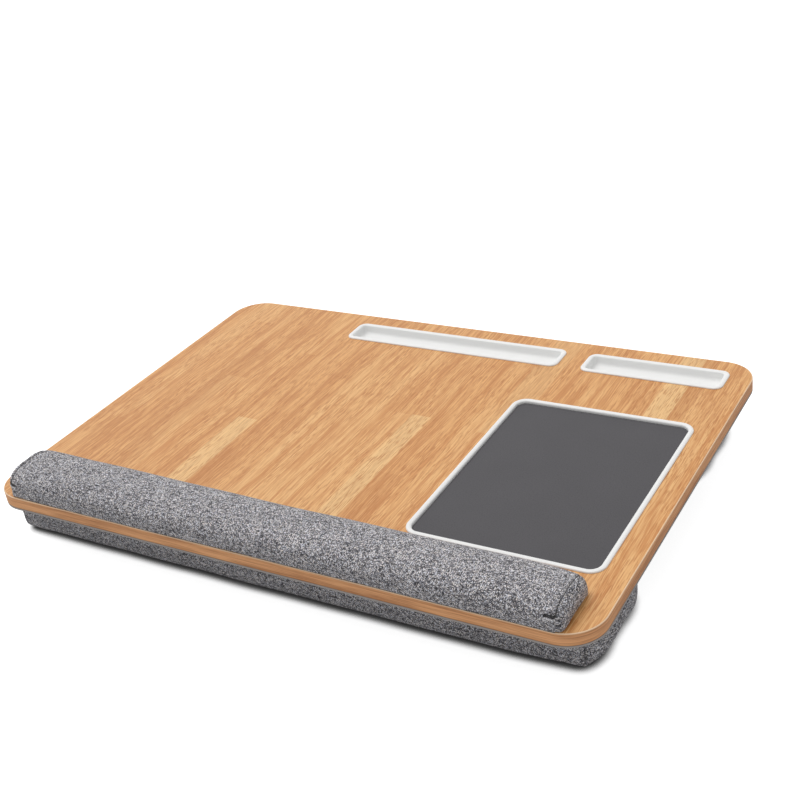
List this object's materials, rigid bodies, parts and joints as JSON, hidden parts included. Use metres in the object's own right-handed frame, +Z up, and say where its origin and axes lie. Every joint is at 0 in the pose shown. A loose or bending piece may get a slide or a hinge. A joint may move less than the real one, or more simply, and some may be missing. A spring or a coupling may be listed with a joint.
{
  "type": "cushioned lap desk",
  "caption": "Lap desk: a wood-grain board on a cushion of stuffed rolls, with a padded wrist rest, a recessed mouse pad, and moulded slots for a phone and a tablet.",
  "frame": {"origin": "on the surface that the desk stands on, under the middle of the board", "axes": "+X to the user's right along the board's long side, +Y away from the user towards the device slots, +Z up"},
  "size_m": [0.55, 0.39, 0.074],
  "materials": {
    "wood_grain_top": "satin oak-look laminate with the grain front to back",
    "wood_grain_edge": "satin oak-look edge strip, redder than the top",
    "fibreboard": "raw fibreboard",
    "backing_laminate": "pale matte sheet",
    "white_plastic": "fine satin moulding",
    "pad_surface": "smooth matte mouse-pad cloth",
    "pad_foam": "foam rubber",
    "heather_cloth": "heather grey woven cloth with light and dark yarns",
    "wrist_foam": "soft foam",
    "bead_filling": "loose foam beads"
  },
  "bodies": {
    "root": {"backing_sheet": "backing_laminate", "board_core": "fibreboard", "top_veneer": "wood_grain_top", "edge_band": "wood_grain_edge", "mouse_pad_tray": "white_plastic", "mouse_pad_foam": "pad_foam", "mouse_pad_sheet": "pad_surface", "phone_tray": "white_plastic", "tablet_tray": "white_plastic", "wrist_rest_cover": "heather_cloth", "wrist_rest_left_end": "heather_cloth", "wrist_rest_right_end": "heather_cloth", "wrist_rest_base": "fibreboard", "wrist_rest_foam": "wrist_foam", "cushion_panel": "heather_cloth", "cushion_web": "heather_cloth", "front_bolster_cover": "heather_cloth", "front_bolster_left_end": "heather_cloth", "front_bolster_right_end": "heather_cloth", "front_bolster_filling": "bead_filling", "rear_bolster_cover": "heather_cloth", "rear_bolster_left_end": "heather_cloth", "rear_bolster_right_end": "heather_cloth", "rear_bolster_filling": "bead_filling"}
  },
  "joints": []
}
